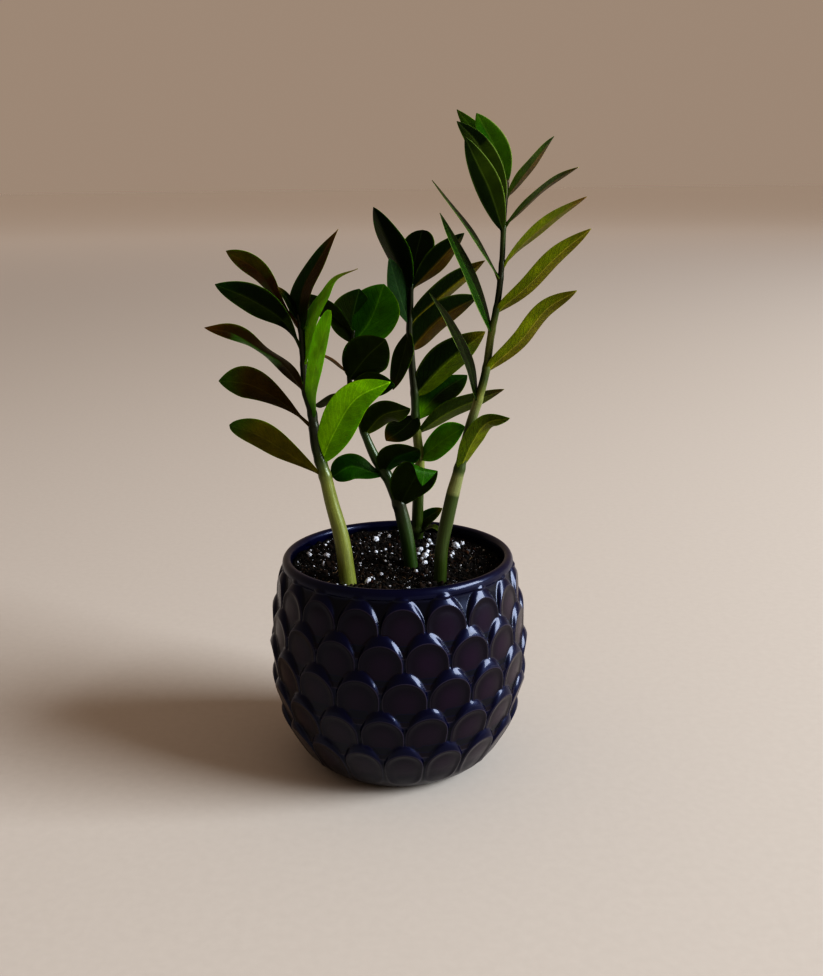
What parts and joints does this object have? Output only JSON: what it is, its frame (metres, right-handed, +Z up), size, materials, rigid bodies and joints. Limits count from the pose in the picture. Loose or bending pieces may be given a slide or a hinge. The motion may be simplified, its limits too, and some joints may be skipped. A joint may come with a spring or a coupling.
{
  "type": "potted ZZ plant",
  "caption": "Potted ZZ plant: upright leafy stems with pointed glossy leaflets, standing in soil in a round dark glazed pot with raised overlapping scales.",
  "frame": {"origin": "centre of the flat underside of the pot", "axes": "+Z up, +X to the right and -Y towards the viewer as the plant is seen from its front"},
  "size_m": [0.1774, 0.1304, 0.3193],
  "materials": {
    "glaze": "high gloss, dark navy to aubergine",
    "soil": "matte, crumbly potting mix",
    "perlite": "matte, porous white grains",
    "leaf": "waxy, glossy green",
    "stem": "satin, pale green with fine specks"
  },
  "bodies": {
    "root": {"pot": "glaze", "soil": "soil", "left_leafy_stem": "leaf", "front_leafy_stem": "leaf", "back_leafy_stem": "leaf", "right_leafy_stem": "leaf"}
  },
  "joints": []
}
